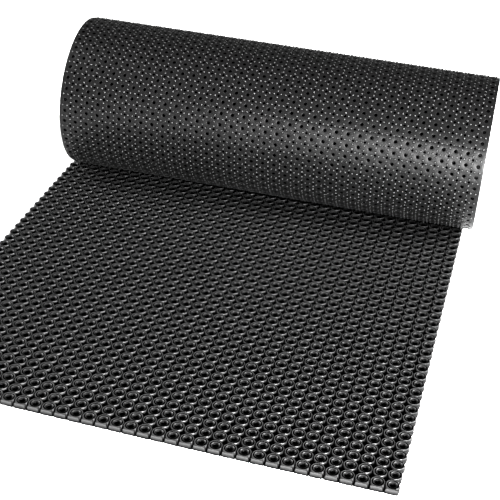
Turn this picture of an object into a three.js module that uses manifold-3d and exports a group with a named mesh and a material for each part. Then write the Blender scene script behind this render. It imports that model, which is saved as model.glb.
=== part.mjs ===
// A rubber ring mat: one moulded length of matting, most of it rolled up, its free end flat on the floor.
// Millimetres. X runs across the mat along the roll's axis, the free end points to -Y, and +Z is up.
// The origin is under the middle of the whole piece, on the floor.
import * as THREE from "three";
import { mergeVertices } from "three/addons/utils/BufferGeometryUtils.js";
import Module from "manifold-3d";

const wasm = await Module();
wasm.setup();

// The mat's pattern: a square grid of moulded rings with a narrow lip along both sides
const RING_PITCH = 27;
const RINGS_ACROSS = 37;
const SIDE_LIP = 0.5;
const MAT_THICKNESS = 12;
// The skin that the rings stand on, which makes the underside
const SKIN_THICKNESS = 4;
// Half the diagonal of the diamond hole between four rings, where the cut edge opens it
const DIAMOND_REACH = 4;
// The valley between two rows of rings: its width at the top and at its floor, and how deep it is
const VALLEY_WIDTH = 9;
const VALLEY_FLOOR = 3;
const VALLEY_DEPTH = 4.5;
// The recess above the skin between two rings along a side: its width at the side and how far in it goes
const SCALLOP_WIDTH = 12;
const SCALLOP_DEPTH = 7;

// The free end, measured along its sides, and how much further its cut edge stands out in the middle
const FREE_LENGTH = 982;
const CUT_BOW = 5;
// The free end doesn't leave the roll quite square, and lies a little to the left of it
const FREE_END_TURN = THREE.MathUtils.degToRad(1.5);
const FREE_END_SHIFT = -21;

// The roll, measured over the outermost turn, and its open middle
const ROLL_DIAMETER = 380;
const BORE_DIAMETER = 94;
const STEPS_PER_TURN = 30;
// The gap that shows between the turns on each end of the roll
const TURN_GAP = 1.6;
const TURN_GAP_DEPTH = 24;

const width = RINGS_ACROSS * RING_PITCH + 2 * SIDE_LIP;
const rollRadius = ROLL_DIAMETER / 2;
const turns = (rollRadius - MAT_THICKNESS - BORE_DIAMETER / 2) / MAT_THICKNESS;
const step = (2 * Math.PI) / STEPS_PER_TURN;
const overcut = MAT_THICKNESS;

// The outer face of the rolled mat after some turns, from the line where the roll touches the floor,
// up the back, over the top and down the front
function onSpiral(turn, inset = 0) {
  const angle = 2 * Math.PI * turn;
  const radius = rollRadius - MAT_THICKNESS * turn - inset;
  return new THREE.Vector2(radius * Math.sin(angle), rollRadius - radius * Math.cos(angle));
}

// Points along the spiral between two turns, both ends included
function spiral(from, to, inset = 0) {
  const count = Math.ceil(((to - from) * 2 * Math.PI) / step - 1e-6);
  return Array.from({ length: count + 1 }, (_, k) => onSpiral(from + ((to - from) * k) / count, inset));
}

function toSolid(geometry) {
  const bare = geometry.clone();
  bare.deleteAttribute("normal");
  bare.deleteAttribute("uv");
  const merged = mergeVertices(bare, 1e-4);
  const mesh = new wasm.Mesh({
    numProp: 3,
    vertProperties: new Float32Array(merged.attributes.position.array),
    triVerts: new Uint32Array(merged.index.array),
  });
  return new wasm.Manifold(mesh);
}

function toGeometry(solid) {
  const mesh = solid.getMesh();
  const geometry = new THREE.BufferGeometry();
  geometry.setAttribute("position", new THREE.BufferAttribute(mesh.vertProperties, 3));
  geometry.setIndex(new THREE.BufferAttribute(mesh.triVerts, 1));
  geometry.computeVertexNormals();
  return geometry;
}

// Sections in Y and Z, drawn out along X from one place to another
function alongX(shapes, from, to) {
  const geometry = new THREE.ExtrudeGeometry(shapes, { depth: to - from, bevelEnabled: false });
  // Shape x, y and depth become Y, Z and X
  return geometry.applyMatrix4(new THREE.Matrix4().set(0, 0, 1, from, 1, 0, 0, 0, 0, 1, 0, 0, 0, 0, 0, 1));
}

// Plans in X and Y, drawn up from one height to another
function alongZ(outlines, from, to) {
  const shapes = outlines.map((outline) => new THREE.Shape(outline));
  const geometry = new THREE.ExtrudeGeometry(shapes, { depth: to - from, bevelEnabled: false });
  geometry.translate(0, 0, from);
  return toSolid(geometry);
}

// The rolled part: the outermost turn's face outside, the innermost turn's inner face round the bore
function rollBody() {
  // The turns part by half a gap where the roll closes on the free end
  const pinch = [new THREE.Vector2(0, MAT_THICKNESS + TURN_GAP / 2), new THREE.Vector2(0, MAT_THICKNESS)];
  const underfoot = [new THREE.Vector2(-MAT_THICKNESS, MAT_THICKNESS), new THREE.Vector2(-MAT_THICKNESS, 0)];
  const outline = [...spiral(0, 1).slice(0, -1), ...pinch, ...underfoot];
  const section = new THREE.Shape(outline);
  section.holes.push(new THREE.Path(spiral(turns - 1, turns, MAT_THICKNESS).reverse()));
  return toSolid(alongX([section], -width / 2, width / 2));
}

// The spiral gap between the turns, cut a little way into both ends
function turnGap() {
  // It opens into the pinch at the free end and into the bore
  const from = 1 - 0.5 / STEPS_PER_TURN;
  const to = turns + 0.5 / STEPS_PER_TURN;
  const outer = spiral(from, to, -TURN_GAP / 2);
  const inner = spiral(from, to, TURN_GAP / 2).reverse();
  const band = [new THREE.Shape([...outer, ...inner])];
  const depth = TURN_GAP_DEPTH;
  const right = toSolid(alongX(band, width / 2 - depth, width / 2 + overcut));
  const left = toSolid(alongX(band, -width / 2 - overcut, -width / 2 + depth));
  return right.add(left);
}

// A place on the free end, given across the mat and back from the corners of its cut edge
function onFreeEnd(across, back) {
  const place = new THREE.Vector2(across, back - FREE_LENGTH);
  place.rotateAround(new THREE.Vector2(0, 0), -FREE_END_TURN);
  return place.add(new THREE.Vector2(FREE_END_SHIFT, 0));
}

// A place by the cut edge, which bows out between the two sides
function onCutEdge(across, back) {
  const share = across / (width / 2);
  return onFreeEnd(across, back - CUT_BOW * (1 - share * share));
}

// The cut edge in plan, notched at each diamond hole that the cut went through
function freeEndPlan() {
  const half = width / 2;
  const first = (-RINGS_ACROSS * RING_PITCH) / 2;
  const cut = [onCutEdge(-half, 0)];
  for (let ring = 1; ring < RINGS_ACROSS; ring += 1) {
    const middle = first + ring * RING_PITCH;
    cut.push(onCutEdge(middle - DIAMOND_REACH, 0));
    cut.push(onCutEdge(middle, DIAMOND_REACH));
    cut.push(onCutEdge(middle + DIAMOND_REACH, 0));
  }
  cut.push(onCutEdge(half, 0));
  return [...cut, sideMeetsRoll(half), sideMeetsRoll(-half)];
}

// Where a side of the free end reaches the roll's own first step
function sideMeetsRoll(across) {
  const start = onFreeEnd(across, 0);
  const end = -MAT_THICKNESS / 2;
  return new THREE.Vector2(start.x + (end - start.y) * Math.tan(FREE_END_TURN), end);
}

// Where one row of rings on the free end gives way to the next
function betweenRows() {
  const rows = Math.floor((FREE_LENGTH - MAT_THICKNESS) / RING_PITCH);
  return Array.from({ length: rows }, (_, row) => (row + 1) * RING_PITCH);
}

// The valleys that run across the free end between its rows of rings
function rowValleys() {
  const top = VALLEY_WIDTH / 2;
  const floor = VALLEY_FLOOR / 2;
  const sections = betweenRows().map((back) => {
    const middle = back - FREE_LENGTH;
    return new THREE.Shape([
      new THREE.Vector2(middle - floor, MAT_THICKNESS - VALLEY_DEPTH),
      new THREE.Vector2(middle + floor, MAT_THICKNESS - VALLEY_DEPTH),
      new THREE.Vector2(middle + top, MAT_THICKNESS),
      new THREE.Vector2(middle + top, MAT_THICKNESS + overcut),
      new THREE.Vector2(middle - top, MAT_THICKNESS + overcut),
      new THREE.Vector2(middle - top, MAT_THICKNESS),
    ]);
  });
  const geometry = alongX(sections, -width, width);
  geometry.rotateZ(-FREE_END_TURN);
  geometry.translate(FREE_END_SHIFT, 0, 0);
  return toSolid(geometry);
}

// The recesses between the rings along both sides of the free end, open above the skin
function sideScallops() {
  const half = width / 2;
  const plans = [];
  for (const side of [-1, 1]) {
    for (const back of betweenRows()) {
      const reach = (side * SCALLOP_WIDTH) / 2;
      plans.push([
        onFreeEnd(side * (half - SCALLOP_DEPTH), back),
        onFreeEnd(side * half, back - reach),
        onFreeEnd(side * (half + overcut), back - reach),
        onFreeEnd(side * (half + overcut), back + reach),
        onFreeEnd(side * half, back + reach),
      ]);
    }
  }
  return alongZ(plans, SKIN_THICKNESS, MAT_THICKNESS + overcut);
}

const freeEnd = alongZ([freeEndPlan()], 0, MAT_THICKNESS).subtract(sideScallops()).subtract(rowValleys());
const mat = rollBody().add(freeEnd).subtract(turnGap());

const rubber = new THREE.MeshStandardMaterial({ color: 0x1d1e1f, roughness: 0.62, metalness: 0 });
const ringMat = new THREE.Mesh(toGeometry(mat), rubber);
ringMat.name = "ring_mat";

const model = new THREE.Group();
const box = new THREE.Box3().setFromObject(ringMat);
const centre = box.getCenter(new THREE.Vector3());
ringMat.position.set(-centre.x, -centre.y, -box.min.z);
model.add(ringMat);

export default model;
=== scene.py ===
"""A rubber ring mat, most of it rolled up, its free end flat on the floor.

The mat is drawn flat, in millimetres: across from its middle, along from its cut edge, and up from
its underside. laid_flat and rolled_up then place each point in the frame, in metres.
"""
import math

import bpy
import numpy as np
from mathutils import Matrix, Vector


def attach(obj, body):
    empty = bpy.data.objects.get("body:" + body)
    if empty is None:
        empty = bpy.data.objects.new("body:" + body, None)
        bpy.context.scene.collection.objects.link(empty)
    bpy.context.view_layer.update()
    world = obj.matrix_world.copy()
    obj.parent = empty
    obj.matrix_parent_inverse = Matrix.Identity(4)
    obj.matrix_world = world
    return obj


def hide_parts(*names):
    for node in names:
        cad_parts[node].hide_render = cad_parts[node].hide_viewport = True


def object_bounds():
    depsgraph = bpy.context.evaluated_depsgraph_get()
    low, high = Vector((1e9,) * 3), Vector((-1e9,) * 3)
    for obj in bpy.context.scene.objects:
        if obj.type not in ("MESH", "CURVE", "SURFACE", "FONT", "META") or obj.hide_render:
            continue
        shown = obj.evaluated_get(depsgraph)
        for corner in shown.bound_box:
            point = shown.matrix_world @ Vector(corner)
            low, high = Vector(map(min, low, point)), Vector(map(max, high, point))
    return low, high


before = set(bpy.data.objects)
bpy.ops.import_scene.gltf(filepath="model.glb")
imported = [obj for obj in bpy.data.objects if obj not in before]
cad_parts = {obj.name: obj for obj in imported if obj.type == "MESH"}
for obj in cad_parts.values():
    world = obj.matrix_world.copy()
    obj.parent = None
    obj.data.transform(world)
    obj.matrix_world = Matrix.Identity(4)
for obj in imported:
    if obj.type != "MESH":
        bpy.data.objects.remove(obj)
cad_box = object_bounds()

# The mat's pattern, the same as the solid's
PITCH = 27.0
HALF = PITCH / 2
COLUMNS = 37
SIDE_LIP = 0.5
THICKNESS = 12.0
SKIN = 4.0
HALF_WIDTH = COLUMNS * HALF + SIDE_LIP

# The free end and the roll, the same as the solid's
FREE_LENGTH = 982.0
CUT_BOW = 5.0
FREE_END_TURN = math.radians(1.5)
FREE_END_SHIFT = -21.0
ROLL_RADIUS = 190.0
BORE_RADIUS = 47.0
TURNS = (ROLL_RADIUS - THICKNESS - BORE_RADIUS) / THICKNESS
# How far the solid's roll reaches behind its axis
ROLL_REACH = 186.17
AXIS_X = cad_box[1][0] * 1000 - HALF_WIDTH
AXIS_Y = cad_box[1][1] * 1000 - ROLL_REACH

# Rows of rings: those of the free end, then those of the roll's outermost turn
FREE_ROWS = 36
ROLL_ROWS = 44
ROLL_ROW_PITCH = 26.35
ROLL_START = FREE_ROWS * PITCH - FREE_LENGTH
ROLL_END = ROLL_START + ROLL_ROWS * ROLL_ROW_PITCH
# The pieces that the rows are shared out to
FREE_PIECES = (("front", 0, 12), ("middle", 12, 24), ("back", 24, FREE_ROWS))
ROLL_PIECES = (("low", 0, 15), ("top", 15, 30), ("front", 30, ROLL_ROWS))
# Where the free end turns square to the roll, out of sight under it
SQUARE_FROM = FREE_LENGTH - 50.0

# Points round each circle of a cell: of the cells that show, and of the plain ones in the bore
CELL_STEPS = 16
PLAIN_STEPS = 12

# One ring in section, from its hole out: distance from its middle, height, and how worn it is, the wear
# also painting a highlight on the rim tops
RING_SECTION = (
    (4.2, 0.0, 0.0),
    (4.5, 8.8, 0.0),
    (7.0, 10.9, 0.3),
    (8.3, 11.8, 1.0),
    (8.6, 4.6, 0.0),
    (11.0, 4.6, 0.0),
    (11.3, 11.7, 0.9),
    (12.4, 12.0, 1.0),
)
PLAIN_RING_SECTION = (
    (3.8, 1.0, 0.0),
    (8.6, 11.4, 1.0),
    (10.4, 7.6, 0.0),
    (11.6, 12.0, 1.0),
    (12.9, 12.0, 0.6),
)
# The land round a ring: its height beside its neighbours, at a diamond hole's tips and along its sides
LAND_SIDE = 9.6
LAND_CORNER = 8.2
LAND_HOLE = 7.6
# Half a diamond hole's diagonal, at the land and at the underside
DIAMOND_TOP = 5.3
DIAMOND_FOOT = 2.8
# How far the diamond's sides bulge: their middles lie at this share of its reach
DIAMOND_BULGE = 0.58
# How far the rings' own roundness draws the mat's side in between them, and its share at the diamonds
SIDE_ROUND = 2.4
SIDE_ROUND_SHARE = 0.6
# A cell's outline points within this share of half a cell from a corner belong to the hole there
CORNER_SHARE = 0.6
# How near the middle of a cell's side a point has to be to count as lying on it
AT_MIDDLE = 1.0
# What is left of a diamond hole on the cut edge, and of a gap's hole on the roll's sides
CUT_SHARE = 0.62
SIDE_SHARE = 0.25
# The cut edge stands straight up to this height, and is painted nearly as grey as worn rubber: partly the
# grey of cut rubber, partly painted light on its front face
CUT_HEIGHT = 11.6
CUT_GREY_AND_PAINTED_LIGHT = 0.65

# The underside: a low pad with a hole under each ring, measured in from the roll's outer face
PAD_DEPTH = 2.3
PAD_CROWN = 1.0
PAD_LIP = 5.4
PAD_RIM = 1.5
PAD_HOLE = 4.1
GAP_HOLE = 3.3
ROUND_BULGE = 0.7

# The studs round the holes between the pads: shares of their radius and of their height
STUD_RADIUS = 2.8
STUD_STEPS = 6
STUD_PLACE = HALF - 8.0
STUD_SINK = 0.4
STUD_SHOULDER = 0.82
STUD_SHOULDER_DEPTH = 0.45
STUD_CROWN = 0.35
# How worn a stud is at its foot, shoulder and crown, the worn crown also painted lighter as a highlight
STUD_WEAR_AND_HIGHLIGHT = (0.0, 0.7, 1.0)

# The roll's ends: how far in the turns are drawn, and how their rings sit in the skin and in the side
SIDE_DEPTH = 19.0
BOSS_SINK = 0.3
BOSS_INSET = 0.05
# The core behind them, which stays a little clear of the outer turn and of the bore's turn
CORE_STEPS = 120
CORE_GAP = 0.2
CORE_OVERLAP = 1.0

# Edges sharper than this aren't shaded smooth
SHARP_ANGLE = math.radians(48)

# The rubber's base colour where it is new and where it is worn, the worn grey also a painted highlight on
# rim tops and stud crowns, and the wear at which it starts to grey
BLACK = 0.002
WORN_AND_LIT_GREY = 0.016
WORN_FROM = 0.4
# Its gloss: how rough the grain is, and how much it mirrors where it is new and where it is worn and
# painted with a highlight
ROUGHNESS = (0.28, 0.44)
SHEEN = 0.09
WORN_SHEEN = 0.6
# Painted shade: hollows are painted darker and duller, by ambient occlusion within this distance, in
# metres, and between these shares of open sky
PAINTED_SHADE_DISTANCE = 0.012
PAINTED_SHADE_SAMPLES = 8
PAINTED_SHADE_RANGE = (0.62, 0.97)
# Broad blotches in the shade, and the fine grain of the moulded surface
BLOTCH_SCALE = 14.0
BLOTCH_DETAIL = 4.0
BLOTCH_RANGE = (0.7, 1.3)
GRAIN_SCALE = 900.0
GRAIN_DETAIL = 3.0
GRAIN_STRENGTH = 0.25
GRAIN_HEIGHT = 0.0004

# The pale floor, in metres, just under the mat
FLOOR_REACH = 12.0
FLOOR_HEIGHT = -0.0004
FLOOR_SHADE = (0.9, 0.9, 0.9, 1)
FLOOR_ROUGHNESS = 0.9
ROOM_LIGHT = 0.25

# The view, worked out from the mat's outline and the grid of rings in the photograph, in metres
VIEW_AZIMUTH = math.radians(-11.94)
VIEW_ELEVATION = math.radians(32.08)
VIEW_ROLL = math.radians(3.95)
VIEW_DISTANCE = 2.6677
VIEW_TARGET = Vector((AXIS_X / 1000 + 0.0140, AXIS_Y / 1000 - 0.3148, 0.012))
SENSOR_WIDTH = 36.0
FOCAL_SHARE = 1164.8 / 500.0


# Where the flat mat's points go


def smooth(share):
    share = np.clip(share, 0.0, 1.0)
    return share * share * (3 - 2 * share)


def laid_flat(points):
    """Places the flat mat on the floor, turned and shifted as the solid's free end is."""
    across, along, up = points.T
    bow = CUT_BOW * (1 - (across / HALF_WIDTH) ** 2) * (1 - along / FREE_LENGTH)
    back = along - bow - FREE_LENGTH
    square = smooth((along - SQUARE_FROM) / (FREE_ROWS * PITCH - SQUARE_FROM))
    cos, sin = math.cos(FREE_END_TURN), math.sin(FREE_END_TURN)
    x = across * cos + back * sin + FREE_END_SHIFT + AXIS_X
    y = back * cos - across * sin * (1 - square) + AXIS_Y
    return np.stack([x, y, up], 1) / 1000.0


def turn_at(length):
    """How many turns the roll has made after this length of its outer face."""
    share = np.asarray(length) / math.pi
    return (ROLL_RADIUS - np.sqrt(ROLL_RADIUS**2 - THICKNESS * share)) / THICKNESS


def length_at(turn):
    return math.pi * turn * (2 * ROLL_RADIUS - THICKNESS * turn)


def on_spiral(across, turn, inset):
    angle = 2 * math.pi * turn
    radius = ROLL_RADIUS - THICKNESS * turn - inset
    x = across + AXIS_X
    y = radius * np.sin(angle) + AXIS_Y
    z = ROLL_RADIUS - radius * np.cos(angle)
    return np.stack([x, y, z], 1) / 1000.0


def rolled_up(points):
    """Places points on the spiral: along is the length from the line where the roll leaves the floor."""
    across, along, up = points.T
    return on_spiral(across, turn_at(along), up)


# One cell of the pattern, round its own middle


def circle(radius, height, steps):
    angles = 2 * math.pi * np.arange(steps) / steps
    return np.stack([radius * np.cos(angles), radius * np.sin(angles), np.full(steps, height)], 1)


def cell_edge(reach, bulge, heights, steps):
    """A cell's outline: a square whose corners are cut by the holes between the rings."""
    side, corner, hole = heights
    quarter = [(HALF, 0.0, side), (HALF, HALF - reach, corner), (HALF - reach, HALF, corner)]
    if steps == CELL_STEPS:
        middle = HALF - reach * bulge
        quarter.insert(2, (middle, middle, hole))
    outline = list(quarter)
    for _ in range(3):
        quarter = [(-y, x, z) for x, y, z in quarter]
        outline.extend(quarter)
    return np.array(outline)


def band(inner, outer, count):
    """Quads between two rings of points, facing up when the first ring is the inner one."""
    k = np.arange(count)
    after = (k + 1) % count
    return np.stack([inner + k, outer + k, outer + after, inner + after], 1)


class Tile:
    """One cell's points, wear with its painted highlight, and faces, and which points a wall of the
    outline joins.
    """

    def __init__(self, steps, straight_sides=False):
        self.steps = steps
        self.straight_sides = straight_sides
        self.rings = []
        self.wear_and_highlight = []
        self.quads = []
        self.top = None
        self.foot = None

    def ring(self, points, wear_and_highlight=0.0):
        """Adds a ring of points, and says at which number it starts."""
        self.rings.append(points)
        self.wear_and_highlight.append(np.full(self.steps, wear_and_highlight))
        return (len(self.rings) - 1) * self.steps

    def join(self, inner, outer):
        self.quads.append(band(inner, outer, self.steps))

    def wall(self, places):
        """Quads down from the top outline to the foot outline, at these places round it."""
        places = np.asarray(places)
        after = (places + 1) % self.steps
        return np.stack([self.top + places, self.foot + places, self.foot + after, self.top + after], 1)

    def hole_walls(self):
        per = self.steps // 4
        return [q * per + k for q in range(4) for k in range(1, per - 1)]

    def side_wall(self, side):
        """The places on one side of the outline: 0 is right, 1 back, 2 left, 3 front."""
        per = self.steps // 4
        return [(side * per - 1) % self.steps, side * per]


def ring_tile(section, steps):
    """A cell of the ring side, through which the ring's hole and the diamond holes go."""
    tile = Tile(steps)
    levels = [tile.ring(circle(radius, height, steps), wear_and_highlight) for radius, height, wear_and_highlight in section]
    foot_height = section[0][1]
    tile.top = tile.ring(cell_edge(DIAMOND_TOP, DIAMOND_BULGE, (LAND_SIDE, LAND_CORNER, LAND_HOLE), steps))
    tile.foot = tile.ring(cell_edge(DIAMOND_FOOT, DIAMOND_BULGE, (foot_height,) * 3, steps))
    for inner, outer in zip(levels, levels[1:]):
        tile.join(inner, outer)
    tile.join(levels[-1], tile.top)
    tile.join(tile.foot, levels[0])
    return tile


def pad_tile():
    """A cell of the underside, seen from outside the roll, with inset in place of height."""
    tile = Tile(CELL_STEPS, straight_sides=True)
    lip = tile.ring(circle(PAD_LIP, PAD_CROWN, CELL_STEPS))
    rim = tile.ring(circle(PAD_HOLE, PAD_RIM, CELL_STEPS))
    foot_rim = tile.ring(circle(PAD_HOLE, SKIN, CELL_STEPS))
    tile.top = tile.ring(cell_edge(GAP_HOLE, ROUND_BULGE, (PAD_DEPTH,) * 3, CELL_STEPS))
    tile.foot = tile.ring(cell_edge(GAP_HOLE, ROUND_BULGE, (SKIN,) * 3, CELL_STEPS))
    tile.join(lip, tile.top)
    tile.join(rim, lip)
    tile.join(foot_rim, rim)
    tile.join(tile.foot, foot_rim)
    return tile


def round_side(points, side):
    """Draws a cell's outer side in toward its corners, so that the mat's side follows its rings."""
    across, along = points[:, 0] * side, np.abs(points[:, 1])
    outer = np.isclose(across, HALF)
    points[outer & (along > AT_MIDDLE), 0] -= side * SIDE_ROUND
    bulge = (across > HALF - DIAMOND_TOP) & ~outer & (along > HALF - DIAMOND_TOP)
    points[bulge, 0] -= side * SIDE_ROUND * SIDE_ROUND_SHARE


def shrink_holes(points, where, share):
    """Draws the cell's corners at these places in, so that only a share of their holes is left."""
    corner = np.sign(points[:, :2]) * HALF
    near = (np.abs(points[:, :2] - corner).sum(1) < HALF * CORNER_SHARE) & where
    points[near, :2] = corner[near] + (points[near, :2] - corner[near]) * share


def on_cut(points):
    """Which of a first row's points lie on the mat's cut edge."""
    return np.isclose(points[:, 1], -HALF)


def fit_sides(tile, points, column, row):
    """The cells by the mat's sides and cut edge differ a little from the others."""
    side = -1 if column == 0 else 1
    if column in (0, COLUMNS - 1):
        outer = np.isclose(points[:, 0] * side, HALF)
        points[outer & (np.abs(points[:, 1]) < AT_MIDDLE), 0] += side * SIDE_LIP
        if tile.straight_sides:
            shrink_holes(points, points[:, 0] * side > 0, SIDE_SHARE)
        else:
            round_side(points, side)
    if row == 0 and not tile.straight_sides:
        shrink_holes(points, points[:, 1] < 0, CUT_SHARE)
        points[on_cut(points) & (points[:, 2] > SKIN), 2] = CUT_HEIGHT


# The pattern repeated over the mat


def column_middle(column):
    return (column - (COLUMNS - 1) / 2) * PITCH


def tiled(tile, rows, row_pitch, start):
    """A welded sheet of cells, from side to side: points in the flat mat, quads, and wear with its painted
    highlight.
    """
    base = np.concatenate(tile.rings)
    wear_and_highlight = np.concatenate(tile.wear_and_highlight)
    inner = np.concatenate([*tile.quads, tile.wall(tile.hole_walls())])
    points, quads, worn_and_lit = [], [], []
    for row in rows:
        for column in range(COLUMNS):
            offset = len(points) * len(base)
            placed = base.copy()
            fit_sides(tile, placed, column, row)
            placed[:, 0] += column_middle(column)
            placed[:, 1] = placed[:, 1] * row_pitch / PITCH + start + (row + 0.5) * row_pitch
            points.append(placed)
            # The cut edge is painted lighter: partly cut rubber's grey, partly painted light on its front
            # face
            worn_and_lit.append(np.where(on_cut(base) & (row == 0), CUT_GREY_AND_PAINTED_LIGHT, wear_and_highlight))
            quads.append(inner + offset)
            outer_sides = (column == COLUMNS - 1, row == rows[-1], column == 0, row == rows[0])
            for side in np.flatnonzero(outer_sides):
                quads.append(tile.wall(tile.side_wall(side)) + offset)
    return weld(np.concatenate(points), np.concatenate(quads), np.concatenate(worn_and_lit))


def weld(points, quads, wear_and_highlight):
    """Points at one place become one point."""
    keys = np.round(points * 1000).astype(np.int64)
    _, first, same = np.unique(keys, axis=0, return_index=True, return_inverse=True)
    return points[first], same.reshape(-1)[quads], wear_and_highlight[first]


def many(points, faces, offsets):
    """Copies of one closed solid, each moved by an offset."""
    placed = (points[None] + np.asarray(offsets)[:, None]).reshape(-1, 3)
    every = []
    for k in range(len(offsets)):
        every.extend(tuple(i + k * len(points) for i in face) for face in faces)
    return placed, every


def flipped(faces):
    return [tuple(reversed(face)) for face in faces]


def stud_places(rows):
    """Round each hole between the pads: two studs beside it across the mat, and two along it."""
    places = []
    for row in rows:
        middle = ROLL_START + (row + 0.5) * ROLL_ROW_PITCH
        for column in range(COLUMNS):
            across = column_middle(column)
            for step in (-STUD_PLACE, STUD_PLACE):
                places.append((across + step, middle + ROLL_ROW_PITCH / 2, 0.0))
                if column < COLUMNS - 1:
                    places.append((across + HALF, middle + step, 0.0))
    return places


def studs(rows):
    """Domed studs of the underside, each closed and sunk a little in the skin."""
    n = STUD_STEPS
    low = circle(STUD_RADIUS, PAD_DEPTH + STUD_SINK, n)
    shoulder = circle(STUD_RADIUS * STUD_SHOULDER, PAD_DEPTH * STUD_SHOULDER_DEPTH, n)
    crown = circle(STUD_RADIUS * STUD_CROWN, 0.0, n)
    faces = [*band(n, 0, n).tolist(), *band(2 * n, n, n).tolist(), range(2 * n, 3 * n), range(n)[::-1]]
    places = stud_places(rows)
    points, every = many(np.concatenate([low, shoulder, crown]), faces, places)
    return points, every, np.tile(np.repeat(STUD_WEAR_AND_HIGHLIGHT, n), len(places))


# What shows on the roll's ends, and behind its holes


def boss(plan, foot, tops, crown):
    """A closed solid on a plan, with its own height at each corner, rising to a crown point."""
    n = len(plan)
    low = [(x, y, foot) for x, y in plan]
    high = [(x, y, z) for (x, y), z in zip(plan, tops)]
    faces = [tuple(reversed(range(n)))]
    faces += [(k, (k + 1) % n, n + (k + 1) % n, n + k) for k in range(n)]
    faces += [(n + k, n + (k + 1) % n, 2 * n) for k in range(n)]
    return np.array([*low, *high, crown], float), faces


def bar_faces(sections, closed):
    """Faces along a bar whose sections have four points each, with two ends unless it is closed."""
    faces = []
    for k in range(sections if closed else sections - 1):
        a, b = 4 * k, 4 * ((k + 1) % sections)
        faces += [(a + m, a + (m + 1) % 4, b + (m + 1) % 4, b + m) for m in range(4)]
    if not closed:
        last = 4 * (sections - 1)
        faces += [(3, 2, 1, 0), (last, last + 1, last + 2, last + 3)]
    return faces


def rings_at_side(side, places):
    """The rings at one end of the roll, of all turns, seen from their side."""
    reach = HALF - DIAMOND_TOP
    plan = [
        (0.0, -reach), (0.0, 0.0), (0.0, reach), (-DIAMOND_TOP, HALF),
        (-SIDE_DEPTH, HALF), (-SIDE_DEPTH, -HALF), (-DIAMOND_TOP, -HALF),
    ]
    tops = [LAND_CORNER, LAND_SIDE, LAND_CORNER, LAND_CORNER, LAND_SIDE, LAND_SIDE, LAND_CORNER]
    points, faces = boss(plan, SKIN - BOSS_SINK, tops, (-HALF / 2, 0.0, THICKNESS))
    if side < 0:
        points, faces = points * (-1, 1, 1), flipped(faces)
    edge = side * (HALF_WIDTH - BOSS_INSET)
    return many(points, faces, [(edge, along, 0.0) for along in places])


def skin_at_side(side, places):
    """The skin of the inner turns at one end of the roll, as one long closed ribbon."""
    near, far = side * HALF_WIDTH, side * (HALF_WIDTH - SIDE_DEPTH)
    corners = ((near, PAD_DEPTH), (far, PAD_DEPTH), (far, SKIN), (near, SKIN))
    points = [(across, along, up) for along in places for across, up in corners]
    faces = bar_faces(len(places), closed=False)
    return np.array(points), flipped(faces) if side > 0 else faces


def turns_at_side(side):
    outer = ROLL_START + (np.arange(ROLL_ROWS) + 0.5) * ROLL_ROW_PITCH
    inner = np.arange(ROLL_END + HALF, length_at(TURNS) - HALF, PITCH)
    rings, ring_faces = rings_at_side(side, [*outer, *inner])
    skin, skin_faces = skin_at_side(side, np.arange(ROLL_END - HALF, inner[-1] + HALF, HALF))
    after_rings = [tuple(i + len(rings) for i in face) for face in skin_faces]
    return rolled_up(np.concatenate([rings, skin])), ring_faces + after_rings


def core():
    """The turns inside the roll, as one hollow body that shows only through the holes."""
    reach = HALF_WIDTH - SIDE_DEPTH + CORE_OVERLAP
    ends = np.array([-reach, reach])
    points = []
    for k in range(CORE_STEPS):
        turn = k / CORE_STEPS
        last_turn = TURNS - 1 + (turn - TURNS) % 1
        outer = on_spiral(ends, np.full(2, turn), THICKNESS + CORE_GAP)
        inner = on_spiral(ends, np.full(2, last_turn), -CORE_GAP)
        points += [outer[0], outer[1], inner[1], inner[0]]
    return np.array(points), flipped(bar_faces(CORE_STEPS, closed=True))


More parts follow.
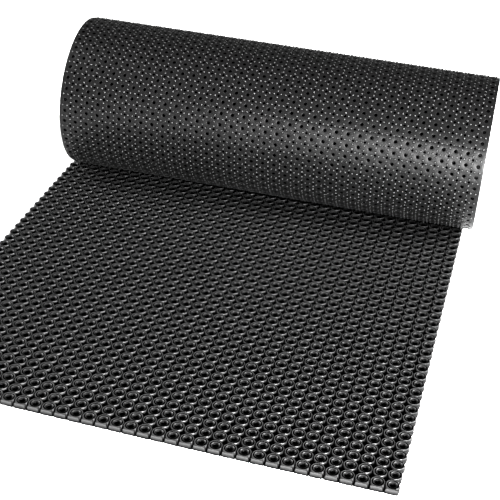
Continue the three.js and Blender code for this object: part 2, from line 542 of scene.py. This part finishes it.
class Rubber:
    """The rubber's shader: black, with painted shade darkening and dulling its hollows, and greyer and
    smoother where it is worn, which also paints highlights on rim tops and stud crowns.
    """

    def __init__(self):
        self.material = bpy.data.materials.new("rubber")
        self.material.use_nodes = True
        self.nodes = self.material.node_tree.nodes
        self.links = self.material.node_tree.links
        self.shader = self.nodes["Principled BSDF"]
        self.place = self.nodes.new("ShaderNodeTexCoord").outputs["Object"]
        # Painted shade: ambient occlusion darkens the colour and gloss in hollows
        hollow_shade = self.node("ShaderNodeAmbientOcclusion", samples=PAINTED_SHADE_SAMPLES)
        hollow_shade.inputs["Distance"].default_value = PAINTED_SHADE_DISTANCE
        self.painted_shade_factor = self.ranged(hollow_shade.outputs["AO"], 0.0, 1.0, *PAINTED_SHADE_RANGE)
        wear_and_highlight = self.node("ShaderNodeAttribute", attribute_name="wear_and_highlight").outputs["Fac"]
        # The wear attribute is partly real wear and partly a painted highlight on rim tops and stud crowns
        self.wear_and_highlight = self.product(self.ranged(wear_and_highlight, 0.0, 1.0, WORN_FROM), self.painted_shade_factor)
        self.colour()
        self.finish()

    def node(self, kind, **settings):
        node = self.nodes.new(kind)
        for name, value in settings.items():
            setattr(node, name, value)
        return node

    def noise(self, scale, detail):
        noise = self.nodes.new("ShaderNodeTexNoise")
        noise.inputs["Scale"].default_value = scale
        noise.inputs["Detail"].default_value = detail
        self.links.new(self.place, noise.inputs["Vector"])
        return noise.outputs["Fac"]

    def ranged(self, value, low, high, start=0.0, end=1.0):
        """The value from start to end, stretched to go from low to high."""
        between = self.nodes.new("ShaderNodeMapRange")
        for name, number in (("From Min", start), ("From Max", end), ("To Min", low), ("To Max", high)):
            between.inputs[name].default_value = number
        self.links.new(value, between.inputs["Value"])
        return between.outputs["Result"]

    def product(self, first, second):
        times = self.node("ShaderNodeMath", operation="MULTIPLY")
        self.links.new(first, times.inputs[0])
        self.links.new(second, times.inputs[1])
        return times.outputs["Value"]

    def colour(self):
        blotches = self.ranged(self.noise(BLOTCH_SCALE, BLOTCH_DETAIL), *BLOTCH_RANGE)
        worn_and_lit = self.ranged(self.wear_and_highlight, BLACK, WORN_AND_LIT_GREY)
        # Painted shade: the colour is darkened in hollows by the occlusion factor
        grey = self.product(self.product(blotches, worn_and_lit), self.painted_shade_factor)
        self.links.new(grey, self.shader.inputs["Base Color"])

    def finish(self):
        grain = self.noise(GRAIN_SCALE, GRAIN_DETAIL)
        self.links.new(self.ranged(grain, *ROUGHNESS), self.shader.inputs["Roughness"])
        bump = self.nodes.new("ShaderNodeBump")
        bump.inputs["Strength"].default_value = GRAIN_STRENGTH
        bump.inputs["Distance"].default_value = GRAIN_HEIGHT
        self.links.new(grain, bump.inputs["Height"])
        self.links.new(bump.outputs["Normal"], self.shader.inputs["Normal"])
        # Painted shade dulls the gloss in hollows; the painted highlight raises it on worn tops
        sheen = self.product(self.painted_shade_factor, self.ranged(self.wear_and_highlight, SHEEN, WORN_SHEEN))
        self.links.new(sheen, self.shader.inputs["Specular IOR Level"])


# The pieces of the mat


def make_piece(name, points, faces, material, wear_and_highlight=0.0):
    mesh = bpy.data.meshes.new(name)
    mesh.from_pydata(points.tolist(), [], [tuple(face) for face in faces])
    mesh.polygons.foreach_set("use_smooth", np.ones(len(mesh.polygons), bool))
    mesh.set_sharp_from_angle(angle=SHARP_ANGLE)
    mesh.materials.append(material)
    # The wear attribute carries both real wear and painted highlight
    worn_and_lit = mesh.attributes.new("wear_and_highlight", "FLOAT", "POINT")
    worn_and_lit.data.foreach_set("value", np.broadcast_to(wear_and_highlight, len(points)).astype(float))
    mesh.update()
    piece = bpy.data.objects.new(name, mesh)
    bpy.context.scene.collection.objects.link(piece)
    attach(piece, "root")
    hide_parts("ring_mat")


def make_free_end(rubber):
    tile = ring_tile(RING_SECTION, CELL_STEPS)
    for part, first, end in FREE_PIECES:
        points, quads, wear_and_highlight = tiled(tile, range(first, end), PITCH, 0.0)
        make_piece(f"free_end_{part}", laid_flat(points), quads.tolist(), rubber, wear_and_highlight)


def make_roll_face(rubber):
    tile = pad_tile()
    for part, first, end in ROLL_PIECES:
        rows = range(first, end)
        points, quads, _ = tiled(tile, rows, ROLL_ROW_PITCH, ROLL_START)
        make_piece(f"roll_face_{part}", rolled_up(points), flipped(quads), rubber)
        points, faces, wear_and_highlight = studs(rows)
        make_piece(f"roll_studs_{part}", rolled_up(points), flipped(faces), rubber, wear_and_highlight)


def make_bore(rubber):
    """The ring side of the innermost turn, with as many whole rows as it takes."""
    rows = int((length_at(TURNS) - length_at(TURNS - 1)) / PITCH)
    start = length_at(TURNS) - rows * PITCH
    points, quads, wear_and_highlight = tiled(ring_tile(PLAIN_RING_SECTION, PLAIN_STEPS), range(rows), PITCH, start)
    make_piece("roll_bore", rolled_up(points), quads, rubber, wear_and_highlight)


# The studio: floor, lights and camera


def make_floor():
    material = bpy.data.materials.new("floor")
    material.use_nodes = True
    shader = material.node_tree.nodes["Principled BSDF"]
    shader.inputs["Base Color"].default_value = FLOOR_SHADE
    shader.inputs["Roughness"].default_value = FLOOR_ROUGHNESS
    corners = [(-1, -1), (1, -1), (1, 1), (-1, 1)]
    mesh = bpy.data.meshes.new("floor")
    mesh.from_pydata([(x * FLOOR_REACH, y * FLOOR_REACH, 0) for x, y in corners], [], [(0, 1, 2, 3)])
    mesh.materials.append(material)
    floor = bpy.data.objects.new("floor", mesh)
    floor.location.z = FLOOR_HEIGHT
    bpy.context.scene.collection.objects.link(floor)


def area_light(name, place, target, size, power):
    light = bpy.data.lights.new(name, "AREA")
    light.shape = "RECTANGLE"
    light.size, light.size_y = size
    light.energy = power
    lamp = bpy.data.objects.new(name, light)
    lamp.location = place
    lamp.rotation_euler = (Vector(target) - Vector(place)).to_track_quat("-Z", "Y").to_euler()
    bpy.context.scene.collection.objects.link(lamp)


def make_room():
    """White light from all round, as in a pale studio."""
    world = bpy.data.worlds.new("studio")
    world.use_nodes = True
    background = world.node_tree.nodes["Background"]
    background.inputs["Color"].default_value = (1, 1, 1, 1)
    background.inputs["Strength"].default_value = ROOM_LIGHT
    bpy.context.scene.world = world


def make_camera():
    across = Vector((math.cos(VIEW_AZIMUTH), -math.sin(VIEW_AZIMUTH), 0))
    ahead = Vector((math.sin(VIEW_AZIMUTH), math.cos(VIEW_AZIMUTH), 0))
    forward = ahead * math.cos(VIEW_ELEVATION) - Vector((0, 0, math.sin(VIEW_ELEVATION)))
    upright = across.cross(forward)
    right = across * math.cos(VIEW_ROLL) + upright * math.sin(VIEW_ROLL)
    above = upright * math.cos(VIEW_ROLL) - across * math.sin(VIEW_ROLL)
    turned = Matrix((right, above, -forward)).transposed().to_4x4()

    data = bpy.data.cameras.new("camera")
    data.sensor_width = SENSOR_WIDTH
    data.lens = SENSOR_WIDTH * FOCAL_SHARE
    camera = bpy.data.objects.new("camera", data)
    camera.matrix_world = Matrix.Translation(VIEW_TARGET - forward * VIEW_DISTANCE) @ turned
    bpy.context.scene.collection.objects.link(camera)
    bpy.context.scene.camera = camera


rubber = Rubber().material
make_free_end(rubber)
make_roll_face(rubber)
make_piece("roll_turns_right", *turns_at_side(1), rubber)
make_piece("roll_turns_left", *turns_at_side(-1), rubber)
make_bore(rubber)
make_piece("roll_core", *core(), rubber)

# Two soft lights at the sides, and two in front that the roll mirrors: a low one and a narrow strip
make_floor()
area_light("key", (2.7, -0.2, 2.2), (0, 0.1, 0.1), (1.4, 1.4), 460)
area_light("fill", (-2.9, 0.0, 2.2), (0, 0.1, 0.1), (1.6, 1.6), 260)
area_light("low", (1.5, -2.1, 0.6), (0.45, 0.2, 0.25), (1.2, 0.5), 720)
area_light("strip", (0.9, -2.3, 1.0), (0.3, 0.2, 0.25), (2.2, 0.06), 220)
make_room()
make_camera()
bpy.context.scene.view_settings.view_transform = "Standard"
